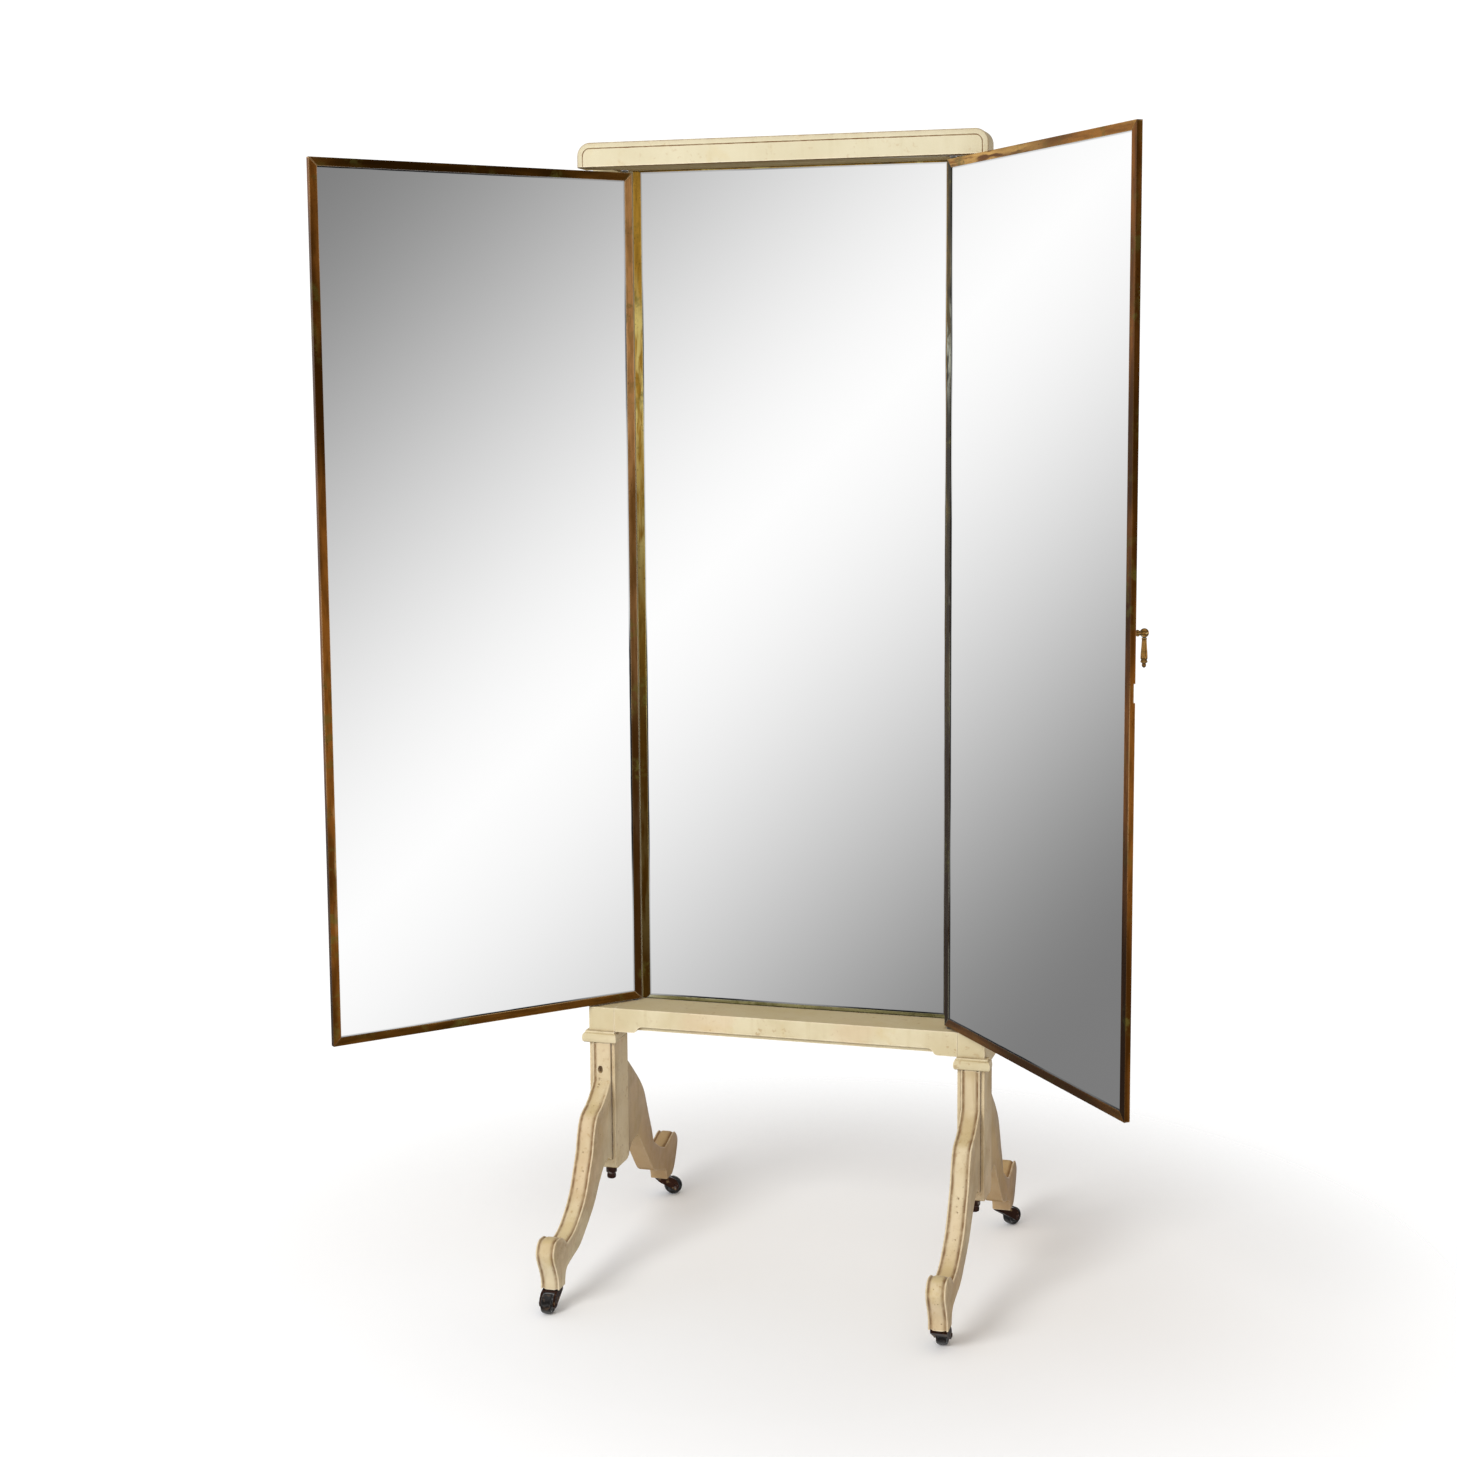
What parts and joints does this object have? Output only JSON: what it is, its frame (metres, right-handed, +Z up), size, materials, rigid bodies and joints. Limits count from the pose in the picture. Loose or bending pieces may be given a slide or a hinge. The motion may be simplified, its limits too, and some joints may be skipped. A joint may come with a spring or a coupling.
{
  "type": "three-way dressing mirror",
  "caption": "Full-length dressing mirror on castors: fixed centre glass in a painted wooden stand, with two brass-framed mirror wings that swing on pins.",
  "frame": {"origin": "on the floor, in the middle of the footprint of the bounding box in the stored pose", "axes": "+Z up, -Y is the side the mirrors face, +X to the right as seen from the front"},
  "size_m": [1.3092, 0.7788, 1.9],
  "materials": {
    "cream_paint": "aged cream oil paint, satin, worn at the edges",
    "cream_back": "cream paint, matt",
    "brass": "aged brass, brown in places, rubbed bright at the edges",
    "mirror_glass": "silvered plate glass",
    "steel": "dull steel",
    "castor_iron": "brown-black iron",
    "castor_wheel": "smooth black"
  },
  "bodies": {
    "carcass": {"backing_board": "cream_back", "bottom_rail": "cream_paint", "centre_frame_bottom": "brass", "centre_frame_left": "brass", "centre_frame_right": "brass", "centre_frame_top": "brass", "centre_mirror": "mirror_glass", "head_rail": "cream_paint", "left_block": "cream_paint", "left_bush_bottom": "brass", "left_bush_top": "brass", "left_collar": "cream_paint", "left_front_leg": "cream_paint", "left_lower_post": "cream_paint", "left_post": "cream_paint", "left_rear_leg": "cream_paint", "left_tie_bolt": "steel", "right_block": "cream_paint", "right_bush_bottom": "brass", "right_bush_top": "brass", "right_collar": "cream_paint", "right_front_leg": "cream_paint", "right_lower_post": "cream_paint", "right_post": "cream_paint", "right_rear_leg": "cream_paint", "right_tie_bolt": "steel", "top_board": "cream_paint"},
    "left_wing": {"left_wing_backing": "cream_back", "left_wing_bottom_bar": "brass", "left_wing_hinge_stile": "brass", "left_wing_mirror": "mirror_glass", "left_wing_outer_stile": "brass", "left_wing_pin_bottom": "steel", "left_wing_pin_top": "steel", "left_wing_top_bar": "brass"},
    "right_wing": {"right_wing_backing": "cream_back", "right_wing_bottom_bar": "brass", "right_wing_handle_knob": "brass", "right_wing_hinge_stile": "brass", "right_wing_mirror": "mirror_glass", "right_wing_outer_stile": "brass", "right_wing_pin_bottom": "steel", "right_wing_pin_top": "steel", "right_wing_top_bar": "brass"},
    "handle_drop": {"right_wing_handle_drop": "brass"},
    "front_left_castor": {"front_left_castor_fork": "castor_iron", "front_left_castor_axle": "steel"},
    "front_left_wheel": {"front_left_castor_wheel": "castor_wheel"},
    "front_right_castor": {"front_right_castor_fork": "castor_iron", "front_right_castor_axle": "steel"},
    "front_right_wheel": {"front_right_castor_wheel": "castor_wheel"},
    "rear_left_castor": {"rear_left_castor_fork": "castor_iron", "rear_left_castor_axle": "steel"},
    "rear_left_wheel": {"rear_left_castor_wheel": "castor_wheel"},
    "rear_right_castor": {"rear_right_castor_fork": "castor_iron", "rear_right_castor_axle": "steel"},
    "rear_right_wheel": {"rear_right_castor_wheel": "castor_wheel"}
  },
  "joints": [
    {"name": "left_wing_hinge", "type": "hinge", "parent": "carcass", "child": "left_wing", "pos_m": [-0.27797, 0.09161, 1.15], "axis": [0, 0, 1], "range_deg": [-47.6, 132.4]},
    {"name": "right_wing_hinge", "type": "hinge", "parent": "carcass", "child": "right_wing", "pos_m": [0.28843, 0.05011, 1.15], "axis": [0, 0, 1], "range_deg": [-128.5, 51.5]},
    {"name": "handle_swing", "type": "hinge", "parent": "right_wing", "child": "handle_drop", "pos_m": [0.64634, -0.35775, 1.148], "axis": [0.6225, -0.7826, 0], "range_deg": [-8, 90]},
    {"name": "front_left_swivel", "type": "hinge", "parent": "carcass", "child": "front_left_castor", "pos_m": [-0.31742, -0.22129, 0.045], "axis": [0, 0, 1], "continuous": true},
    {"name": "front_left_spin", "type": "hinge", "parent": "front_left_castor", "child": "front_left_wheel", "pos_m": [-0.31742, -0.24429, 0.016], "axis": [1, 0, 0], "continuous": true},
    {"name": "front_right_swivel", "type": "hinge", "parent": "carcass", "child": "front_right_castor", "pos_m": [0.32788, -0.22129, 0.045], "axis": [0, 0, 1], "continuous": true},
    {"name": "front_right_spin", "type": "hinge", "parent": "front_right_castor", "child": "front_right_wheel", "pos_m": [0.32788, -0.19829, 0.016], "axis": [-1, 0, 0], "continuous": true},
    {"name": "rear_left_swivel", "type": "hinge", "parent": "carcass", "child": "rear_left_castor", "pos_m": [-0.31742, 0.33891, 0.045], "axis": [0, 0, 1], "continuous": true},
    {"name": "rear_left_spin", "type": "hinge", "parent": "rear_left_castor", "child": "rear_left_wheel", "pos_m": [-0.29929, 0.35307, 0.016], "axis": [-0.6157, 0.788, 0], "continuous": true},
    {"name": "rear_right_swivel", "type": "hinge", "parent": "carcass", "child": "rear_right_castor", "pos_m": [0.32788, 0.33891, 0.045], "axis": [0, 0, 1], "continuous": true},
    {"name": "rear_right_spin", "type": "hinge", "parent": "rear_right_castor", "child": "rear_right_wheel", "pos_m": [0.34108, 0.35775, 0.016], "axis": [-0.8192, 0.5736, 0], "continuous": true}
  ]
}
